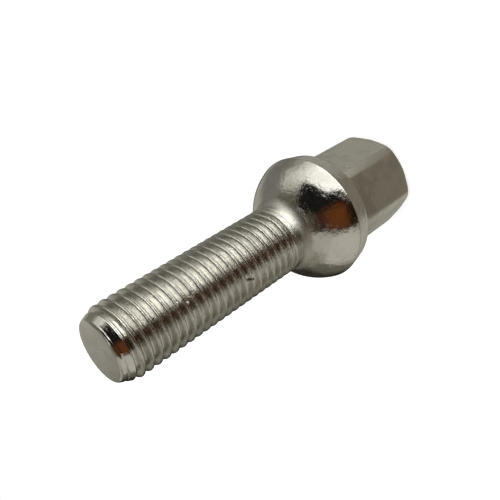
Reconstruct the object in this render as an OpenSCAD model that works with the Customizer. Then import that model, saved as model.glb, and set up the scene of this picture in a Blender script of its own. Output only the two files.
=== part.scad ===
// Wheel bolt with a ball seat and a hexagon head, forged in one piece
// Millimetres. It stands on the end of its head, the axis is Z and the tip points up.

/* [Length and shank] */
// Whole length, from the end of the head to the tip
bolt_len = 63.5; // [55:0.5:85]
// Shank length, from the tip to where the ball seat would meet it
shank_len = 36.75; // [30:0.25:50]

/* [Thread] */
// Diameter over the thread crests
thread_d = 11.8; // [11.7:0.02:12]
// Pitch of the right-hand thread
thread_pitch = 1.5; // [1.25:0.25:1.75]
// Depth of the groove below the crests
thread_depth = 0.92; // [0.7:0.02:1.05]
// Lean of each flank from square to the axis, in degrees
flank_lean = 30; // [27:1:32]
// Width of the flat at the bottom of the groove
root_w = 0.2; // [0.12:0.02:0.26]
// Length of shank that carries the thread, its run-out included
thread_len = 35; // [24:0.5:36]
// Turns over which the groove fades out towards the collar
fade_turns = 1.5; // [0.5:0.25:3]
// How far the groove's centre lies below the tip face on the +X side
groove_start = 0.2; // [0:0.05:1.4]

/* [Tip] */
// Diameter of the flat face at the tip
tip_face_d = 8.6; // [7:0.1:9]
// Diameter at the top of the taper, where the small bevel ends
tip_bevel_d = 9.9; // [9.2:0.1:10.4]
// Height of the small bevel round the tip face
tip_bevel_h = 0.4; // [0.2:0.05:1]
// Length of the tip, bevel and taper together
tip_len = 2.6; // [1.5:0.1:4]

/* [Ball seat collar] */
// Radius of the ball that the seat is part of
seat_r = 12; // [11:0.5:14]
// Lean of the seat's edge above the ball's equator, in degrees
seat_edge_lean = 17.5; // [10:0.5:30]
// Height of the land behind the seat
land_h = 2.9; // [2:0.1:4.5]
// How far the land narrows towards the head, in radius
land_taper = 0.6; // [0.2:0.05:1.2]
// Radius of the rounding behind the land
back_round_r = 1.6; // [0.8:0.1:2.4]
// Radius of the fillet between the collar and the hexagon
head_fillet_r = 2; // [1.4:0.1:3]
// Radius of the fillet between the shank and the ball seat
neck_r = 1.8; // [0.8:0.1:3]

/* [Hexagon head] */
// Size across the flats
hex_af = 16.5; // [16.2:0.05:17]
// Radius of the rounding along the hexagon's corners
corner_round_r = 2.7; // [1:0.1:4]
// Diameter of the flat face at the end of the head
end_face_d = 15.8; // [13:0.1:16.2]
// Height of the chamfer at the end of the head, measured at a corner
end_chamfer_h = 0.9; // [0.4:0.1:2]

/* [Hidden] */
// Facets round the true cylinders, cones and balls
round_fn = 96;
// Facets of the groove in one turn, and corners of its section
turn_steps = 24;
groove_corners = 4;
// Facets along each rounding of an outline
arc_steps = 6;
// Reach of one shape past or into the surface of another
over = 0.12;
crest_r = thread_d / 2;
root_r = crest_r - thread_depth;
// Height of the ball's centre
seat_z = bolt_len - shank_len - sqrt(pow(seat_r, 2) - pow(crest_r, 2));
// The edge between the seat and the land
collar_r = seat_r * cos(seat_edge_lean);
collar_z = seat_z + seat_r * sin(seat_edge_lean);
// The land's lower end, as [radius, height], and its lean from the axis
land_end = [collar_r - land_taper, collar_z - land_h];
land_lean = atan(land_taper / land_h);
// Centre of the rounding behind the land
back_c = land_end + back_round_r * [-cos(land_lean), sin(land_lean)];
// Hexagon: apothem, angle of one side, circle of its rounding centres, and its corners
hex_r = hex_af / 2;
hex_sides = 6;
side_turn = 360 / hex_sides;
hex_core_r = (hex_r - corner_round_r) / cos(side_turn / 2);
hex_corner_r = hex_core_r + corner_round_r;
// Centre of the head fillet, which touches the rounding and runs just into the flats
fillet_x = hex_r - over + head_fillet_r;
fillet_drop = sqrt(pow(back_round_r + head_fillet_r, 2) - pow(fillet_x - back_c.x, 2));
fillet_c = [fillet_x, back_c.y - fillet_drop];
// Lean of the line between the two centres
meet_lean = atan2(fillet_c.y - back_c.y, fillet_c.x - back_c.x);
// Centre of the neck fillet's circle, touching shank and ball
neck_ring_r = crest_r + neck_r;
neck_z = seat_z + sqrt(pow(seat_r + neck_r, 2) - pow(neck_ring_r, 2));
// Where the fillet leaves the ball
touch = seat_r / (seat_r + neck_r);
neck_low_r = neck_ring_r * touch;
neck_low_z = seat_z + (neck_z - seat_z) * touch;
// Height of the groove's centre on the +X side, and its turns below and above
groove_z = bolt_len - groove_start;
turns_below = (thread_len - groove_start) / thread_pitch;
turns_above = 1;
groove_out_r = crest_r + over;

// Points along an arc with centre c and radius r, from angle a to angle b
function arc(c, r, a, b) =
  [for (i = [0:arc_steps]) let (t = a + (b - a) * i / arc_steps) c + r * [cos(t), sin(t)]];

// Radius of the groove's bottom, u turns from its lower end
function bottom_r(u) =
  let (left = max(0, 1 - u / fade_turns))
  root_r + (crest_r + over / 2 - root_r) * left;

// Half the groove's width at the radius r when its bottom is at b
function half_w(r, b) = root_w / 2 + (r - b) * tan(flank_lean);

// The four corners of the groove, u turns from its lower end
function groove_ring(u) =
  let (
    turn = u - turns_below,
    b = bottom_r(u),
    z = groove_z + turn * thread_pitch,
    dir = [cos(turn * 360), sin(turn * 360)]
  )
  [
    [b * dir.x, b * dir.y, z - half_w(b, b)],
    [groove_out_r * dir.x, groove_out_r * dir.y, z - half_w(groove_out_r, b)],
    [groove_out_r * dir.x, groove_out_r * dir.y, z + half_w(groove_out_r, b)],
    [b * dir.x, b * dir.y, z + half_w(b, b)]
  ];

// The helical groove as one solid, from the run-out to above the tip
module thread_groove() {
  steps = ceil((turns_below + turns_above) * turn_steps);
  n = groove_corners;
  points = [for (i = [0:steps]) each groove_ring(i / turn_steps)];
  start = [[for (k = [1:n]) n - k]];
  end = [[for (k = [0:n - 1]) n * steps + k]];
  sides = [
    for (i = [0:steps - 1], k = [0:n - 1])
      let (j = (k + 1) % n)
      [n * i + k, n * i + j, n * (i + 1) + j, n * (i + 1) + k]
  ];
  polyhedron(points, concat(start, sides, end), convexity = 12);
}

// Shank with its tapered tip, before the thread is cut
module shank() {
  translate([0, 0, seat_z])
    cylinder(h = bolt_len - tip_len - seat_z, r = crest_r, $fn = round_fn);
  translate([0, 0, bolt_len - tip_len])
    cylinder(h = tip_len - tip_bevel_h, r1 = crest_r, r2 = tip_bevel_d / 2, $fn = round_fn);
  translate([0, 0, bolt_len - tip_bevel_h])
    cylinder(h = tip_bevel_h, r1 = tip_bevel_d / 2, r2 = tip_face_d / 2, $fn = round_fn);
}

// Fillet between the shank and the ball seat
module neck_fillet() {
  difference() {
    translate([0, 0, seat_z])
      cylinder(h = neck_z - seat_z, r = neck_low_r, $fn = round_fn);
    translate([0, 0, neck_z])
      rotate_extrude($fn = round_fn)
        translate([neck_ring_r, 0])
          circle(r = neck_r, $fn = round_fn);
  }
}

// Ball seat, and behind it the land, its rounding and the fillet down to the hexagon
module collar() {
  intersection() {
    translate([0, 0, seat_z])
      sphere(r = seat_r, $fn = round_fn);
    translate([0, 0, collar_z])
      cylinder(h = seat_r + over, r = seat_r + over, $fn = round_fn);
  }
  rotate_extrude($fn = round_fn)
    polygon(concat(
      [[0, collar_z], [collar_r, collar_z]],
      arc(back_c, back_round_r, -land_lean, meet_lean),
      arc(fillet_c, head_fillet_r, meet_lean + 180, 180),
      [[0, fillet_c.y]]
    ));
}

// Hexagon with rounded corners and a chamfered end
module hexagon() {
  corners = [
    for (i = [0:hex_sides - 1])
      let (t = i * side_turn)
      each arc(
        hex_core_r * [cos(t), sin(t)], corner_round_r, t - side_turn / 2, t + side_turn / 2
      )
  ];
  intersection() {
    linear_extrude(height = land_end.y)
      polygon(corners);
    union() {
      cylinder(h = end_chamfer_h, r1 = end_face_d / 2, r2 = hex_corner_r, $fn = round_fn);
      translate([0, 0, end_chamfer_h])
        cylinder(h = land_end.y, r = hex_corner_r + over, $fn = round_fn);
    }
  }
}

// The whole bolt, one forging with its thread
module wheel_bolt() {
  color([0.7, 0.69, 0.65])
    union() {
      difference() {
        shank();
        thread_groove();
      }
      neck_fillet();
      collar();
      hexagon();
    }
}

wheel_bolt();
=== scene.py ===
import math
import bmesh
import bpy
import numpy as np
from mathutils import Matrix, Vector


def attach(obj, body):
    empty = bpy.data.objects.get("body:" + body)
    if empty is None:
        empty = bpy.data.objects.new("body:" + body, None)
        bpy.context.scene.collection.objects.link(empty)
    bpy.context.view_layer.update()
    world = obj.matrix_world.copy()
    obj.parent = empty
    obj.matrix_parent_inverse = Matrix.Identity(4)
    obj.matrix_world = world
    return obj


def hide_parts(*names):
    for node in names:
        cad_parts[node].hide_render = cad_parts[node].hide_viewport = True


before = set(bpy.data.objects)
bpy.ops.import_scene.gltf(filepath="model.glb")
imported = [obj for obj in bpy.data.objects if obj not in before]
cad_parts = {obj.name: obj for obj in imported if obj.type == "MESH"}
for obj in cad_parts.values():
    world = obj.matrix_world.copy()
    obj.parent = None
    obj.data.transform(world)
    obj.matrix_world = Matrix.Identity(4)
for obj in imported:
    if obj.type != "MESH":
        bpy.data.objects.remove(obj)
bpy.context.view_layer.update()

mm = 0.001
white = (1, 1, 1, 1)
noiseRoughness = 0.6


class Wire:  # a node's output with arithmetic on it
    def __init__(self, bench, socket):
        self.bench = bench
        self.socket = socket

    def calc(self, operation, *others):
        return self.bench.maths(operation, dict(enumerate((self, *others))))

    def __add__(self, other):
        return self.calc("ADD", other)

    def __radd__(self, other):
        return self.calc("ADD", other)

    def __sub__(self, other):
        return self.calc("SUBTRACT", other)

    def __rsub__(self, other):
        return self.bench.maths("SUBTRACT", {0: other, 1: self})

    def __mul__(self, other):
        return self.calc("MULTIPLY", other)

    def __rmul__(self, other):
        return self.calc("MULTIPLY", other)

    def __truediv__(self, other):
        return self.calc("DIVIDE", other)

    def __rtruediv__(self, other):
        return self.bench.maths("DIVIDE", {0: other, 1: self})

    def atMost(self, other):
        return self.calc("MINIMUM", other)

    def atLeast(self, other):
        return self.calc("MAXIMUM", other)


class Bench:  # a node tree while it is built
    def __init__(self, tree):
        self.tree = tree

    def add(self, kind, settings=None, sockets=None):
        node = self.tree.nodes.new(kind)
        for key, value in (settings or {}).items():
            setattr(node, key, value)
        for key, value in (sockets or {}).items():
            if isinstance(value, Wire):
                self.tree.links.new(value.socket, node.inputs[key])
            else:
                node.inputs[key].default_value = value
        return node

    def wire(self, kind, settings=None, sockets=None, output=0):
        return Wire(self, self.add(kind, settings, sockets).outputs[output])

    def maths(self, operation, values):
        return self.wire("ShaderNodeMath", {"operation": operation}, values)

    def mapRange(self, value, low, high):  # 0 at low, 1 at high, with a smooth step between them
        return self.wire(
            "ShaderNodeMapRange",
            {"interpolation_type": "SMOOTHSTEP", "clamp": True},
            {0: value, 1: low, 2: high},
        )

    def noise(self, vector, scale, detail, distortion=0.0):
        values = {"Vector": vector, "Scale": scale, "Detail": detail, "Distortion": distortion}
        values["Roughness"] = noiseRoughness
        return self.wire("ShaderNodeTexNoise", None, values)

    def mixColour(self, factor, first, second):
        values = {0: factor, 6: first, 7: second}
        return self.wire("ShaderNodeMix", {"data_type": "RGBA"}, values, 2)


# The threaded sleeve, swept along a helix by Geometry Nodes
thread = {
    "crestRadius": 5.92 * mm,
    "grooveDepth": 0.92 * mm,
    "pitch": 1.5 * mm,
    "halfRoot": 0.10 * mm,
    "flankSlope": math.tan(math.radians(60)),
    "rootSoftness": 0.28 * mm,
    "crestSoftness": 0.30 * mm,
    "low": 27.7 * mm,  # bottom of the threaded sleeve
    "high": 63.1 * mm,  # top of the threaded sleeve
    "grooveZ": 63.3 * mm,  # the groove's centre line at +X
    "fadeLow": 27.75 * mm,  # the groove ends a little above this height
    "fadeLength": 3.0 * mm,
    "taperLow": 60.9 * mm,
    "taperSlope": 0.98 / 2.2,  # loss of radius for each unit of height
    "taperSoftness": 0.25 * mm,
    "rimHeight": 0.01 * mm,  # the sleeve's end rows are plain circles, to join the other rings
    "rowsPerPitch": 17,
    "columns": 168,
    "weld": 0.001 * mm,  # doubled points of the sleeve nearer than this become one
    "ringWeld": 0.004 * mm,  # the same where the sleeve meets the rings of the head and the tip
}


def threadTree(skin):
    tree = bpy.data.node_groups.new("ThreadSleeve", "GeometryNodeTree")
    face = tree.interface
    floats = {
        "Crest Radius": "crestRadius",
        "Groove Depth": "grooveDepth",
        "Pitch": "pitch",
        "Half Root": "halfRoot",
        "Flank Slope": "flankSlope",
        "Root Softness": "rootSoftness",
        "Crest Softness": "crestSoftness",
        "Low": "low",
        "High": "high",
        "Groove Height": "grooveZ",
        "Fade Low": "fadeLow",
        "Fade Length": "fadeLength",
        "Taper Low": "taperLow",
        "Taper Slope": "taperSlope",
        "Taper Softness": "taperSoftness",
    }
    for name in floats:
        face.new_socket(name, in_out="INPUT", socket_type="NodeSocketFloat")
    for name in ("Rows", "Columns"):
        face.new_socket(name, in_out="INPUT", socket_type="NodeSocketInt")
    face.new_socket("Geometry", in_out="OUTPUT", socket_type="NodeSocketGeometry")

    bench = Bench(tree)
    inside = bench.add("NodeGroupInput")
    take = {name: Wire(bench, inside.outputs[name]) for name in list(floats) + ["Rows", "Columns"]}
    grid = bench.add(
        "GeometryNodeMeshGrid",
        None,
        {
            "Size X": 1.0,
            "Size Y": 1.0,
            "Vertices X": take["Rows"] + 1,
            "Vertices Y": take["Columns"] + 1,
        },
    )
    place = bench.wire("GeometryNodeInputPosition")
    parts = bench.add("ShaderNodeSeparateXYZ", None, {0: place})
    # both run from 0 to 1, as the flat grid is centred and one unit wide
    along = Wire(bench, parts.outputs[0]) + 0.5
    around = Wire(bench, parts.outputs[1]) + 0.5
    pitch = take["Pitch"]
    crest = take["Crest Radius"]
    root = crest - take["Groove Depth"]

    # rows lean with the helix, so that its edges follow the mesh
    span = take["High"] - take["Low"] + pitch
    loose = take["Low"] - pitch + along * span + around * pitch
    z = loose.atLeast(take["Low"]).atMost(take["High"])

    # distance from the middle of the nearest groove
    turn = (z - take["Groove Height"]) / pitch - around + 0.5
    off = (turn - turn.calc("FLOOR") - 0.5).calc("ABSOLUTE") * pitch

    fade = (1 - (z - take["Fade Low"]) / take["Fade Length"]).atLeast(0).atMost(1)
    bottom = root + fade * (take["Groove Depth"] + take["Crest Softness"])
    flank = bottom + (off - take["Half Root"]) * take["Flank Slope"]
    groove = flank.calc("SMOOTH_MAX", bottom, take["Root Softness"])
    body = groove.calc("SMOOTH_MIN", crest, take["Crest Softness"])
    taper = crest - (z - take["Taper Low"]) * take["Taper Slope"]
    drawn = body.calc("SMOOTH_MIN", taper, take["Taper Softness"])
    top = z.calc("GREATER_THAN", take["High"] - thread["rimHeight"])
    foot = z.calc("LESS_THAN", take["Low"] + thread["rimHeight"])
    radius = drawn + (taper - drawn) * top + (crest - drawn) * foot

    angle = around * (2 * math.pi)
    where = bench.wire(
        "ShaderNodeCombineXYZ",
        None,
        {0: radius * angle.calc("COSINE"), 1: radius * angle.calc("SINE"), 2: z},
    )
    flat = Wire(bench, grid.outputs[0])
    shaped = bench.wire("GeometryNodeSetPosition", None, {"Geometry": flat, "Position": where})
    welded = bench.wire(
        "GeometryNodeMergeByDistance", None, {"Geometry": shaped, "Distance": thread["weld"]}
    )
    real = bench.wire("GeometryNodeRealizeInstances", None, {"Geometry": welded})
    dressed = bench.wire("GeometryNodeSetMaterial", None, {"Geometry": real, "Material": skin})
    bench.add("NodeGroupOutput", None, {"Geometry": dressed})
    return tree, floats


def threadMesh(skin):
    tree, floats = threadTree(skin)
    blank = bpy.data.objects.new("threadSleeve", bpy.data.meshes.new("threadSleeve"))
    bpy.context.scene.collection.objects.link(blank)
    build = blank.modifiers.new("thread", "NODES")
    build.node_group = tree
    sockets = {s.name: s.identifier for s in tree.interface.items_tree if s.in_out == "INPUT"}
    for name, key in floats.items():
        build[sockets[name]] = thread[key]
    span = thread["high"] - thread["low"] + thread["pitch"]
    build[sockets["Rows"]] = round(span / thread["pitch"] * thread["rowsPerPitch"])
    build[sockets["Columns"]] = thread["columns"]
    shown = blank.evaluated_get(bpy.context.evaluated_depsgraph_get())
    mesh = bpy.data.meshes.new_from_object(shown)
    blank.modifiers.remove(build)
    bpy.data.objects.remove(blank)
    print("thread sleeve:", len(mesh.vertices), "points")
    return mesh


# Tip, neck, ball collar and hexagon, in millimetres
collar = {
    "seatRadius": 12.0,
    "seatZ": 16.30,  # centre of the ball
    "edgeUp": 3.61,  # the seat's edge above that centre
    "landHeight": 2.9,
    "landTaper": 0.6,
    "backRound": 1.6,  # rounding behind the land
    "headFillet": 2.0,  # fillet between that rounding and the hexagon
    "filletSink": 0.12,  # how far the fillet ends inside the flats
    "neckRadius": 1.8,
    "edgeRound": 0.10,
    "profileSpan": (-2, 30),  # heights between which the profile is drawn
    "profileStep": 0.01,
}
hexagon = {
    "apothem": 8.25,
    "cornerRound": 2.7,
    "endFace": 7.9,
    "chamferHeight": 0.9,
    "chamferSoftness": 0.30,
    "blend": 0.5,  # softness where the flats meet the fillet
    "endRound": 0.3,
    "endDrop": 0.16,
    # rows of points from the threaded sleeve down: lower end of a band, spacing in it
    "rows": [
        (25.5, 0.12),
        (20.7, 0.16),
        (19.9, 0.07),
        (17.0, 0.22),
        (13.2, 0.13),
        (1.7, 0.45),
        (0.3, 0.12),
        (0.0, 0.06),
    ],
    "endRings": (0.985, 0.96, 0.9, 0.75, 0.5, 0.25, 0.06),  # shares of the end face's radius
}
tip = {
    "height": 63.5,
    "faceRadius": 4.3,
    "bendSteps": 10,  # from the taper round to the flat face
    "faceRings": (0.98, 0.95, 0.88, 0.7, 0.45, 0.2, 0.05),
}


def softMax(a, b, reach):
    h = np.maximum(reach - np.abs(a - b), 0) / reach
    return np.maximum(a, b) + h * h * reach * 0.25


def softMin(a, b, reach):
    return -softMax(-a, -b, reach)


def rounded(z, r, reach, at):  # a profile line run over with a soft brush, read at heights
    step = collar["profileStep"]
    margin, halfBrush = 4 * reach, 3 * reach
    fine = np.arange(z.min() - margin, z.max() + margin, step)
    line = np.interp(fine, z, r)
    across = np.arange(-halfBrush, halfBrush + step / 2, step)
    brush = np.exp(-0.5 * (across / reach) ** 2)
    return np.interp(at, fine, np.convolve(line, brush / brush.sum(), mode="same"))


def arcRadius(z, centreR, centreZ, r):  # a circle's outer side, or its inner side for a negative r
    return centreR + math.copysign(1, r) * np.sqrt(np.maximum(r * r - (z - centreZ) ** 2, 0))


def collarRadius(at):
    c = collar
    crest = thread["crestRadius"] / mm
    edgeZ = c["seatZ"] + c["edgeUp"]
    edgeR = math.sqrt(c["seatRadius"] ** 2 - c["edgeUp"] ** 2)
    ringR = crest + c["neckRadius"]
    ringZ = c["seatZ"] + math.sqrt((c["seatRadius"] + c["neckRadius"]) ** 2 - ringR ** 2)
    touch = c["seatRadius"] / (c["seatRadius"] + c["neckRadius"])
    touchZ = c["seatZ"] + (ringZ - c["seatZ"]) * touch
    landZ = edgeZ - c["landHeight"]
    landR = edgeR - c["landTaper"]
    lean = math.atan(c["landTaper"] / c["landHeight"])
    backR = landR - c["backRound"] * math.cos(lean)
    backZ = landZ + c["backRound"] * math.sin(lean)
    hollowR = hexagon["apothem"] - c["filletSink"] + c["headFillet"]
    reach = c["backRound"] + c["headFillet"]
    hollowZ = backZ - math.sqrt(reach**2 - (hollowR - backR) ** 2)
    meetZ = backZ + (hollowZ - backZ) * c["backRound"] / reach
    z = np.arange(*c["profileSpan"], c["profileStep"])
    ball = arcRadius(z, 0, c["seatZ"], c["seatRadius"])
    neck = arcRadius(z, ringR, ringZ, -c["neckRadius"])
    land = edgeR - (edgeZ - z) * math.tan(lean)
    back = arcRadius(z, backR, backZ, c["backRound"])
    hollow = arcRadius(np.maximum(z, hollowZ), hollowR, hollowZ, -c["headFillet"])
    line = np.select(
        [z > ringZ, z > touchZ, z > edgeZ, z > landZ, z > meetZ],
        [crest, neck, ball, land, back],
        hollow,
    )
    return rounded(z, line, c["edgeRound"], at)


def hexRadius(angle):
    a = hexagon["apothem"]
    k = hexagon["cornerRound"]
    halfSide = math.pi / 6
    off = np.abs((angle + halfSide) % (2 * halfSide) - halfSide)  # from the nearest corner
    fromFlat = halfSide - off
    centre = (a - k) / math.cos(halfSide)
    arc = centre * np.cos(off) + np.sqrt(np.maximum(k * k - (centre * np.sin(off)) ** 2, 0))
    reach = math.atan((a - k) * math.tan(halfSide) / a)
    return np.where(fromFlat < reach, a / np.cos(fromFlat), arc)


def headRadius(z, angle):
    h = hexagon
    body = collarRadius(np.full(1, z))[0]
    if z > collar["seatZ"]:
        return np.full(len(angle), body)
    widest = hexRadius(np.zeros(1))[0]
    cone = h["endFace"] + z * (widest - h["endFace"]) / h["chamferHeight"]
    return softMax(softMin(hexRadius(angle), cone, h["chamferSoftness"]), body, h["blend"])


def bandHeights(top, bands):  # heights from the top down, each band with its own spacing
    heights = []
    for bottom, step in bands:
        count = max(1, round((top - bottom) / step))
        heights += [top - (top - bottom) * i / count for i in range(count)]
        top = bottom
    return heights + [top]


def ring(angles, radius, z):  # radius is one number, or one for each angle
    radius = radius * np.ones(len(angles))
    return [(r * math.cos(a), r * math.sin(a), z) for r, a in zip(radius, angles)]


def columnAngles():
    return np.arange(thread["columns"]) * 2 * math.pi / thread["columns"]


def stackRings(rings, closing):  # rings of points, top to bottom, and a last point
    columns = len(rings[0])
    points = [p for ring in rings for p in ring] + [closing]
    faces = []
    for i in range(len(rings) - 1):
        for j in range(columns):
            k = (j + 1) % columns
            upper, lower = i * columns, (i + 1) * columns
            faces.append((upper + j, lower + j, lower + k, upper + k))
    last = (len(rings) - 1) * columns
    for j in range(columns):
        faces.append((last + j, len(points) - 1, last + (j + 1) % columns))
    mesh = bpy.data.meshes.new("rings")
    mesh.from_pydata([tuple(c * mm for c in p) for p in points], [], faces)
    return mesh


def headMesh():
    angles = columnAngles()
    top = thread["low"] / mm
    rings = []
    for z in bandHeights(top, hexagon["rows"]):
        radius = headRadius(z, angles)
        if z < hexagon["endRound"]:
            drop = 1 - z / hexagon["endRound"]
            radius = radius - hexagon["endDrop"] * drop * drop
        if z == top:
            radius = thread["crestRadius"] / mm
        rings.append(ring(angles, radius, z))
    rings += [ring(angles, radius * share, 0) for share in hexagon["endRings"]]
    return stackRings(rings, (0, 0, 0))


def tipMesh():
    angles = columnAngles()
    t = thread
    face, top = tip["faceRadius"], tip["height"]
    low = t["high"] / mm
    start = (t["crestRadius"] - (t["high"] - t["taperLow"]) * t["taperSlope"]) / mm
    bend = start - (top - low) * t["taperSlope"]
    rings = []
    for i in range(tip["bendSteps"] + 1):
        s = i / tip["bendSteps"]
        r = (1 - s) ** 2 * start + 2 * s * (1 - s) * bend + s * s * face
        z = (1 - s) ** 2 * low + 2 * s * (1 - s) * top + s * s * top
        rings.append(ring(angles, r, z))
    rings += [ring(angles, face * share, top) for share in tip["faceRings"]]
    return stackRings(rings, (0, 0, top))


# Beads of plating and a pit on the thread
marks = {
    "beads": [  # angle, height, radius
        (-78.4, 53.06, 0.31),
        (-73.6, 51.65, 0.29),
        (-74.5, 50.07, 0.31),
        (-85.4, 51.56, 0.25),
    ],
    "beadPlace": 5.93,  # distance of a bead's centre from the axis
    "beadSubdivisions": 3,
    "pits": [(-108.5, 39.85, 0.36), (-111.0, 40.35, 0.22)],  # angle, height, radius
    "pitDepth": 0.32,
}


def addBeads(mesh):
    for turn, height, size in marks["beads"]:
        angle = math.radians(turn)
        place = marks["beadPlace"] * mm
        spot = Vector((place * math.cos(angle), place * math.sin(angle), height * mm))
        bmesh.ops.create_icosphere(
            mesh,
            subdivisions=marks["beadSubdivisions"],
            radius=size * mm,
            matrix=Matrix.Translation(spot),
        )


def sinkPits(mesh):
    co = np.empty(len(mesh.vertices) * 3, np.float32)
    mesh.vertices.foreach_get("co", co)
    co = co.reshape(-1, 3).astype(float) / mm
    radius = np.hypot(co[:, 0], co[:, 1])
    angle = np.arctan2(co[:, 1], co[:, 0])
    for turn, height, size in marks["pits"]:
        sweep = (angle - math.radians(turn) + math.pi) % (2 * math.pi) - math.pi
        away = np.hypot(sweep * radius, co[:, 2] - height) / size
        drop = marks["pitDepth"] * np.sqrt(np.maximum(1 - away**2, 0))
        co[:, :2] *= (1 - drop / np.maximum(radius, 1))[:, None]
    mesh.vertices.foreach_set("co", (co * mm).ravel().astype(np.float32))


def wholeBolt(skin):
    joined = bmesh.new()
    for mesh in (threadMesh(skin), headMesh(), tipMesh()):
        joined.from_mesh(mesh)
        bpy.data.meshes.remove(mesh)
    bmesh.ops.remove_doubles(joined, verts=joined.verts, dist=thread["ringWeld"])
    bmesh.ops.recalc_face_normals(joined, faces=joined.faces)
    addBeads(joined)
    openEdges = sum(1 for e in joined.edges if len(e.link_faces) != 2)
    mesh = bpy.data.meshes.new("boltSkin")
    joined.to_mesh(mesh)
    joined.free()
    sinkPits(mesh)
    mesh.materials.clear()
    mesh.materials.append(skin)
    mesh.polygons.foreach_set("use_smooth", [True] * len(mesh.polygons))
    mesh.polygons.foreach_set("material_index", [0] * len(mesh.polygons))
    bolt = bpy.data.objects.new("boltSkin", mesh)
    bpy.context.scene.collection.objects.link(bolt)
    triangles = sum(len(p.vertices) - 2 for p in mesh.polygons)
    print("bolt skin:", triangles, "triangles,", openEdges, "open edges")
    return bolt


# Plated steel, its grain and its hammered skin
plating = {
    "bright": (0.71, 0.70, 0.66, 1),
    # dull plating, also the colour of the painted shade on the neck and on one side of the thread
    "dullAndShaded": (0.43, 0.42, 0.385, 1),
    "glint": (0.98, 0.97, 0.94, 1),  # little bright flecks on the hexagon, beside the collar
    "ballRoughness": 0.09,
    "neckRoughness": 0.46,
    "threadRoughness": 0.11,
    "tipRoughness": 0.08,
    "hexRoughness": 0.15,
    "cloudRoughness": 0.06,
    # heights in millimetres between which one zone passes into the next
    "hexTop": (16.2, 17.2),
    "ballTop": (26.0, 26.6),
    "neckTop": (27.4, 28.6),
    "threadTop": (60.4, 61.6),
    "glintFoot": (7.0, 9.0),
    # noise patterns: scale, detail, distortion
    "cloud": (320.0, 4.0),
    "grain": (2600.0, 3.0),
    "dents": (1300.0, 3.0, 0.9),
    "waves": (420.0, 1.0),
    "streaks": (550.0, 4.0),
    "scratches": (2200.0, 2.0),
    "flecks": (2100.0, 2.0),
    "speckScale": 700.0,
    "stretch": (1.0, 1.0, 7.0),  # streaks and scratches run round the axis
    # values of a pattern between which it goes from unseen to full
    "cloudEdge": (0.42, 0.68),
    "streakEdge": (0.45, 0.65),
    "fleckEdge": (0.58, 0.68),
    "pitEdge": (0.16, 0.06),
    "glintEdge": (0.20, 0.10),
    "glintStrength": 0.7,
    # how much each of them dulls the plating; the neck's share is painted shade in the fillet
    # between the thread and the ball
    "cloudDulling": 0.35,
    "pitDulling": 0.35,
    "fleckDulling": 0.35,
    "streakDulling": 0.25,
    "neckShade": 0.45,
    # painted shade: the thread's colour is darker on one side of the shank, where its grooves look
    # shaded
    "shadedSide": (math.cos(math.radians(-160)), math.sin(math.radians(-160)), 0.0),
    "sideShadeEdge": (0.55, 1.0),
    # height of each relief, in parts of reliefDepth
    "ballDents": 1.5,
    "neckDents": 2.0,
    "threadDents": 0.6,
    "tipDents": 0.8,
    "waveRelief": 2.5,
    "streakRelief": 1.2,
    "scratchRelief": 0.9,
    "tipShare": 0.25,  # share of the streaks and scratches that the tip has
    "grainRelief": 0.15,
    "hexGrainLess": 0.08,
    "pitRelief": 0.3,
    "reliefDepth": 0.03 * mm,
}


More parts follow.
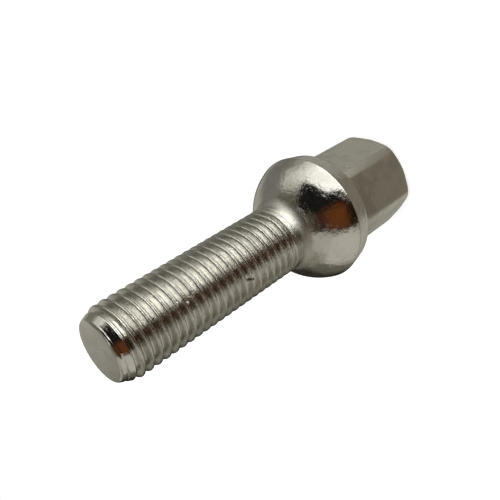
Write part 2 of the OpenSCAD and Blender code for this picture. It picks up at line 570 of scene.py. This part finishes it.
def platedSteel():
    p = plating
    skin = bpy.data.materials.new("platedSteel")
    skin.use_nodes = True
    skin.node_tree.nodes.clear()
    b = Bench(skin.node_tree)
    place = b.wire("ShaderNodeTexCoord", None, None, "Object")
    parts = b.add("ShaderNodeSeparateXYZ", None, {0: place})
    height = Wire(b, parts.outputs[2]) / mm

    def above(border):  # 1 above the border of a zone, 0 below it
        return b.mapRange(height, *p[border])

    def below(border):
        return b.mapRange(height, *reversed(p[border]))

    onHex = below("hexTop")
    onBall = above("hexTop") * below("ballTop")
    onNeck = above("ballTop") * below("neckTop")
    onTip = above("threadTop")
    onThread = above("neckTop") - onTip

    cloud = b.noise(place, *p["cloud"])
    grain = b.noise(place, *p["grain"])
    dents = b.noise(place, *p["dents"])
    waves = b.noise(place, *p["waves"])
    around = b.wire("ShaderNodeVectorMath", {"operation": "MULTIPLY"}, {0: place, 1: p["stretch"]})
    streaks = b.noise(around, *p["streaks"])
    scratches = b.noise(around, *p["scratches"])
    flecks = b.mapRange(b.noise(place, *p["flecks"]), *p["fleckEdge"])
    specks = b.wire(
        "ShaderNodeTexVoronoi", {"feature": "F1"}, {"Vector": place, "Scale": p["speckScale"]}
    )
    pits = b.mapRange(specks, *p["pitEdge"])
    glints = b.mapRange(specks, *p["glintEdge"])
    facing = b.wire(
        "ShaderNodeVectorMath",
        {"operation": "DOT_PRODUCT"},
        {0: place, 1: p["shadedSide"]},
        "Value",
    )
    # painted shade on the side of the thread that faces azimuth -160
    sideShade = b.mapRange(facing / thread["crestRadius"], *p["sideShadeEdge"])

    # pits, flecks and streaks are wear; the side term is painted shade
    wornAndShaded = (
        pits * p["pitDulling"]
        + flecks * p["fleckDulling"]
        + b.mapRange(streaks, *p["streakEdge"]) * p["streakDulling"]
        + sideShade
    )
    # the cloud is tone; the neck's share is painted shade in its fillet
    dullnessAndShade = (
        b.mapRange(cloud, *p["cloudEdge"]) * p["cloudDulling"]
        + wornAndShaded * onThread
        + onNeck * p["neckShade"]
    )
    plain = b.mixColour(dullnessAndShade.atMost(1), p["bright"], p["dullAndShaded"])
    besideCollar = onHex * above("glintFoot")
    colour = b.mixColour(glints * besideCollar * p["glintStrength"], plain, p["glint"])
    roughness = (
        onBall * p["ballRoughness"]
        + onNeck * p["neckRoughness"]
        + onThread * p["threadRoughness"]
        + onTip * p["tipRoughness"]
        + onHex * p["hexRoughness"]
        + cloud * p["cloudRoughness"]
    )
    dentHeight = (
        onBall * p["ballDents"]
        + onNeck * p["neckDents"]
        + onThread * p["threadDents"]
        + onTip * p["tipDents"]
    )
    drawnMarks = streaks * p["streakRelief"] + scratches * p["scratchRelief"]
    relief = (
        dents * dentHeight
        + waves * (onBall + onNeck) * p["waveRelief"]
        + drawnMarks * (onThread + onTip * p["tipShare"])
        + grain * (p["grainRelief"] - onHex * p["hexGrainLess"])
        - pits * onThread * p["pitRelief"]
    )
    bump = b.wire(
        "ShaderNodeBump", None, {"Height": relief, "Strength": 1.0, "Distance": p["reliefDepth"]}
    )
    shader = b.wire(
        "ShaderNodeBsdfPrincipled",
        None,
        {"Base Color": colour, "Metallic": 1.0, "Roughness": roughness, "Normal": bump},
    )
    b.add("ShaderNodeOutputMaterial", None, {"Surface": shader})
    return skin


skin = platedSteel()
bolt = wholeBolt(skin)
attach(bolt, "root")
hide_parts("wheel_bolt")
print("bolt ready")


# Floor, light and the room that the metal mirrors
studio = {
    "floorSize": 1.6,  # metres
    "floorColour": (0.86, 0.86, 0.86, 1),
    "floorLift": 0.45,  # glow of the floor that the camera alone sees
    "wall": (0.44, 0.42, 0.37, 1),
    # soft cards that the metal mirrors, each over the ones before it:
    # azimuth, elevation, half width, half height and blur in degrees, colour
    "cards": [
        (-87, -70, 67, 30, 16, (0.22, 0.195, 0.155, 1)),  # dim table edge
        (40, -66, 45, 26, 16, (0.36, 0.345, 0.30, 1)),
        (103, -83, 110, 12, 10, (0.24, 0.22, 0.18, 1)),
        (100, -48, 28, 24, 12, (0.14, 0.13, 0.11, 1)),
        (134, -52, 16, 12, 12, (0.35, 0.335, 0.295, 1)),
        (-160, 4, 34, 26, 20, (0.54, 0.515, 0.46, 1)),
        (-155, -36, 34, 10, 12, (0.31, 0.29, 0.24, 1)),
        (38, 4, 27, 46, 18, (0.205, 0.20, 0.175, 1)),
        (20, 50, 42, 13, 14, (0.125, 0.12, 0.09, 1)),
        (153, -12, 16, 32, 12, (0.14, 0.13, 0.105, 1)),
        (126, -16, 20, 26, 14, (0.030, 0.028, 0.020, 1)),
        (165, 34, 14, 14, 16, (0.26, 0.245, 0.185, 1)),
        (98, 17, 12, 16, 10, (0.41, 0.39, 0.35, 1)),
        (95, 50, 30, 14, 12, (0.27, 0.25, 0.21, 1)),
        (112, 20, 9, 16, 9, (0.25, 0.24, 0.21, 1)),
        (8, 12, 14, 15, 12, (0.66, 0.64, 0.59, 1)),
        (4, -20, 14, 16, 14, (0.36, 0.345, 0.31, 1)),
        (-12, -11, 13, 31, 8, (0.96, 0.94, 0.88, 1)),
        (-44, -12, 28, 27, 7, (1.42, 1.40, 1.33, 1)),  # large soft lamp
        (-45, -31, 29, 12, 7, (2.80, 2.76, 2.64, 1)),
        (-27, -36, 12, 8, 6, (3.50, 3.45, 3.30, 1)),
        (-22, -53, 18, 11, 8, (0.24, 0.225, 0.19, 1)),
        (-90, -53, 56, 10, 14, (0.22, 0.195, 0.155, 1)),
        (0, 90, 190, 24, 12, (0.16, 0.15, 0.12, 1)),  # dim ceiling
        (-42, 79, 36, 9, 10, (0.95, 0.93, 0.88, 1)),
        (-85, 62, 48, 10, 12, (0.11, 0.095, 0.065, 1)),
        (-106, -18, 23, 26, 10, (0.022, 0.013, 0.002, 1)),
        (-98, 24, 30, 32, 9, (0.006, 0.004, 0.003, 1)),
        (-97, 44, 18, 14, 14, (0.045, 0.014, 0.006, 1)),
        (-99, 19, 25, 17, 11, (0.125, 0.034, 0.005, 1)),  # copper coloured thing in the room
        (-47, 38, 32, 22, 8, (0.003, 0.003, 0.002, 1)),
        (-73, 16, 12, 14, 7, (0.003, 0.003, 0.002, 1)),
    ],
}


def card(b, side, level, halfWidth, halfHeight, blur):  # 1 inside a soft rectangle, 0 outside
    across = b.mapRange(side.calc("ABSOLUTE"), halfWidth + blur / 2, halfWidth - blur / 2)
    upright = b.mapRange(level.calc("ABSOLUTE"), halfHeight + blur / 2, halfHeight - blur / 2)
    return across * upright


def studioWorld():
    world = bpy.data.worlds.new("studio")
    world.use_nodes = True
    world.node_tree.nodes.clear()
    bpy.context.scene.world = world
    b = Bench(world.node_tree)
    way = b.wire("ShaderNodeTexCoord", None, None, "Generated")
    parts = b.add("ShaderNodeSeparateXYZ", None, {0: way})
    x, y, z = (Wire(b, parts.outputs[i]) for i in range(3))
    degrees = 180 / math.pi
    level = z.calc("ARCSINE") * degrees
    seen = studio["wall"]
    for azimuth, elevation, halfWidth, halfHeight, blur, colour in studio["cards"]:
        c, s = math.cos(math.radians(azimuth)), math.sin(math.radians(azimuth))
        side = (y * c - x * s).calc("ARCTAN2", x * c + y * s) * degrees
        mask = card(b, side, level - elevation, halfWidth, halfHeight, blur)
        seen = b.mixColour(mask, seen, colour)
    rays = b.add("ShaderNodeLightPath")
    glossy = Wire(b, rays.outputs["Is Glossy Ray"])
    mirrored = glossy.atLeast(Wire(b, rays.outputs["Is Transmission Ray"]))
    room = b.mixColour(mirrored, white, seen)
    light = b.wire("ShaderNodeBackground", None, {"Color": room, "Strength": 1.0})
    b.add("ShaderNodeOutputWorld", None, {"Surface": light})


def studioFloor():
    half = studio["floorSize"] / 2
    mesh = bpy.data.meshes.new("studioFloor")
    corners = [(-half, -half, 0), (half, -half, 0), (half, half, 0), (-half, half, 0)]
    mesh.from_pydata(corners, [], [(0, 1, 2, 3)])
    floor = bpy.data.objects.new("studioFloor", mesh)
    bpy.context.scene.collection.objects.link(floor)
    paper = bpy.data.materials.new("paleFloor")
    paper.use_nodes = True
    paper.node_tree.nodes.clear()
    b = Bench(paper.node_tree)
    rays = b.add("ShaderNodeLightPath")
    matt = b.wire("ShaderNodeBsdfDiffuse", None, {"Color": studio["floorColour"]})
    lift = Wire(b, rays.outputs["Is Camera Ray"]) * studio["floorLift"]
    glow = b.wire("ShaderNodeEmission", None, {"Color": white, "Strength": lift})
    both = b.wire("ShaderNodeAddShader", None, {0: matt, 1: glow})
    b.add("ShaderNodeOutputMaterial", None, {"Surface": both})
    mesh.materials.append(paper)
    floor.visible_glossy = False


camera = {  # millimetres and degrees
    "place": (16.20, -73.06, 87.32),
    "aim": (0.765, 0.161, 33.830),
    "roll": -122.35,
    "lens": 40.67,
    "sensor": 36,
    "clipStart": 5,
}


def photoCamera():
    data = bpy.data.cameras.new("photoCamera")
    data.sensor_width = camera["sensor"]
    data.lens = camera["lens"]
    data.clip_start = camera["clipStart"] * mm
    eye = bpy.data.objects.new("photoCamera", data)
    bpy.context.scene.collection.objects.link(eye)
    place = Vector(camera["place"]) * mm
    look = (Vector(camera["aim"]) * mm - place).normalized()
    right = look.cross(Vector((0, 0, 1))).normalized()
    up = right.cross(look)
    turn = Matrix.Rotation(-math.radians(camera["roll"]), 3, look)
    right, up = turn @ right, turn @ up
    basis = Matrix((right, up, -look)).transposed().to_4x4()
    basis.translation = place
    eye.matrix_world = basis
    bpy.context.scene.camera = eye


studioWorld()
studioFloor()
photoCamera()
bpy.context.scene.view_settings.view_transform = "Standard"
print("studio ready")
